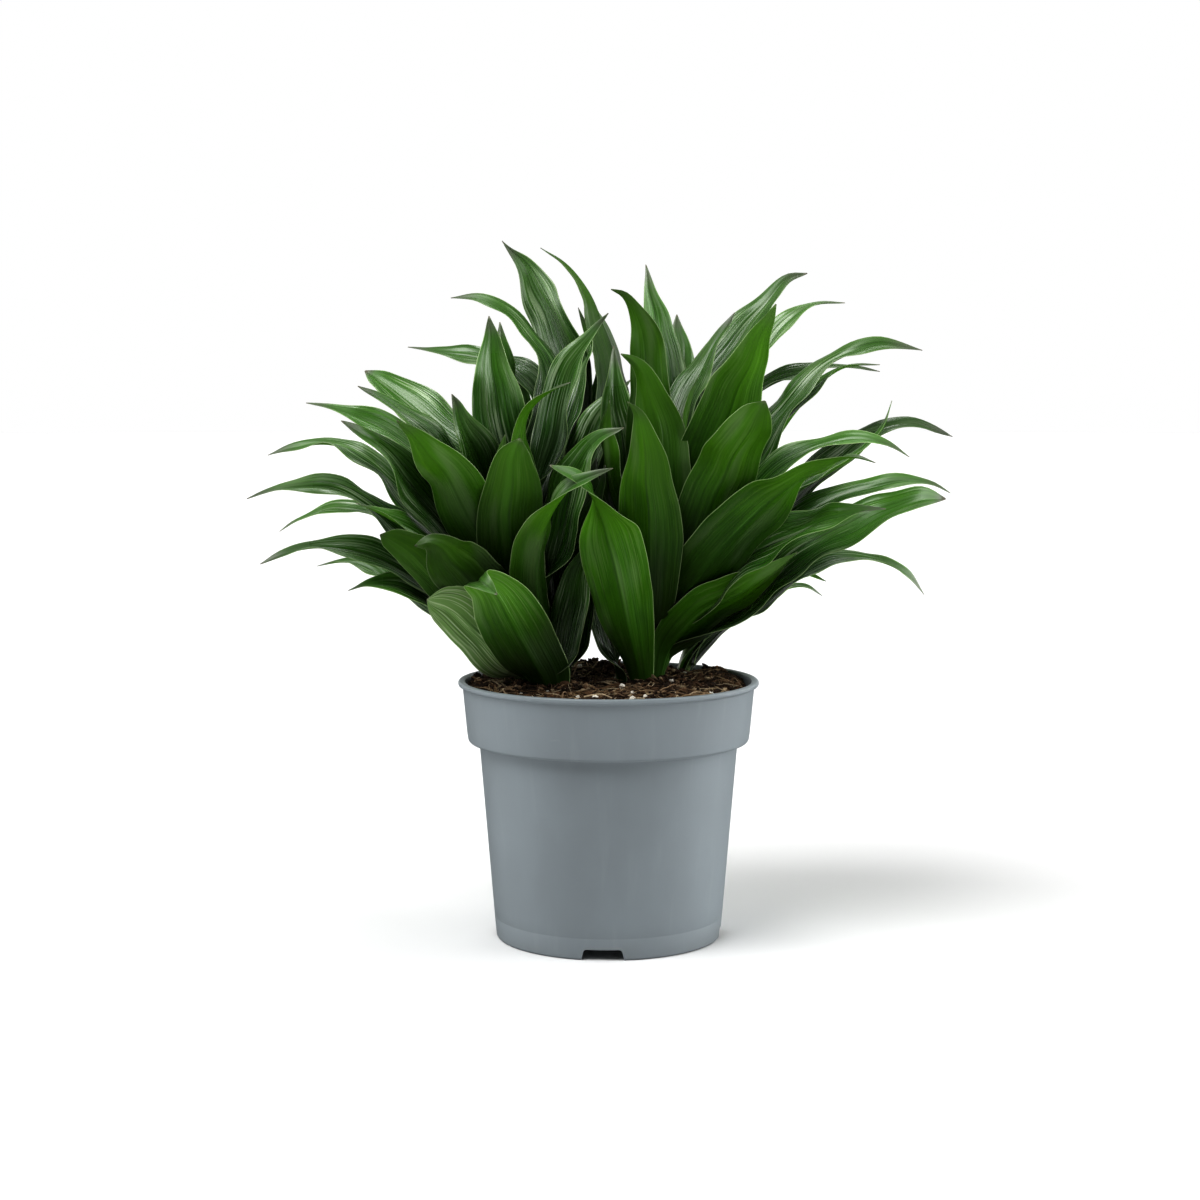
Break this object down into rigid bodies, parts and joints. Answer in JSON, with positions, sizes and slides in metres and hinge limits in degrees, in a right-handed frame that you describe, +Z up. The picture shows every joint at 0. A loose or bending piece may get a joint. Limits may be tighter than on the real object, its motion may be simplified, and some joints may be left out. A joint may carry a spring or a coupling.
{
  "type": "potted dracaena",
  "caption": "Leafy dracaena with arching lance-shaped leaves on short stems, growing in soil in a tapered round nursery pot with a deep collar and notched foot.",
  "frame": {"origin": "centre of the whole plant's outline seen from above, on the surface the pot stands on", "axes": "+X to the right and -Y to the front as seen in the picture, +Z up along the pot's axis"},
  "size_m": [0.2846, 0.1762, 0.2809],
  "materials": {
    "leaf": null,
    "stem": "green-brown ringed cane, satin",
    "pot": "blue-grey moulded plastic, matte",
    "soil": null
  },
  "bodies": {
    "root": {"leaf_left_01": "leaf", "leaf_left_02": "leaf", "leaf_left_03": "leaf", "leaf_left_04": "leaf", "leaf_left_05": "leaf", "leaf_left_06": "leaf", "leaf_left_07": "leaf", "leaf_left_08": "leaf", "leaf_left_09": "leaf", "leaf_left_11": "leaf", "leaf_left_12": "leaf", "leaf_left_13": "leaf", "leaf_left_14": "leaf", "leaf_left_15": "leaf", "leaf_left_16": "leaf", "leaf_left_17": "leaf", "leaf_left_19": "leaf", "leaf_left_20": "leaf", "leaf_left_21": "leaf", "leaf_left_23": "leaf", "leaf_left_24": "leaf", "leaf_left_25": "leaf", "leaf_left_26": "leaf", "leaf_left_28": "leaf", "leaf_left_31": "leaf", "leaf_left_32": "leaf", "leaf_left_33": "leaf", "leaf_left_34": "leaf", "leaf_left_35": "leaf", "leaf_left_41": "leaf", "leaf_left_42": "leaf", "leaf_rear_01": "leaf", "leaf_rear_03": "leaf", "leaf_rear_04": "leaf", "leaf_right_01": "leaf", "leaf_right_02": "leaf", "leaf_right_03": "leaf", "leaf_right_04": "leaf", "leaf_right_05": "leaf", "leaf_right_06": "leaf", "leaf_right_07": "leaf", "leaf_right_09": "leaf", "leaf_right_10": "leaf", "leaf_right_11": "leaf", "leaf_right_12": "leaf", "leaf_right_13": "leaf", "leaf_right_15": "leaf", "leaf_right_16": "leaf", "leaf_right_17": "leaf", "leaf_right_20": "leaf", "leaf_right_21": "leaf", "leaf_right_25": "leaf", "leaf_right_27": "leaf", "leaf_right_41": "leaf", "leaf_right_42": "leaf", "pot": "pot", "potting_soil": "soil", "stem_left": "stem", "stem_rear": "stem", "stem_right": "stem"}
  },
  "joints": []
}
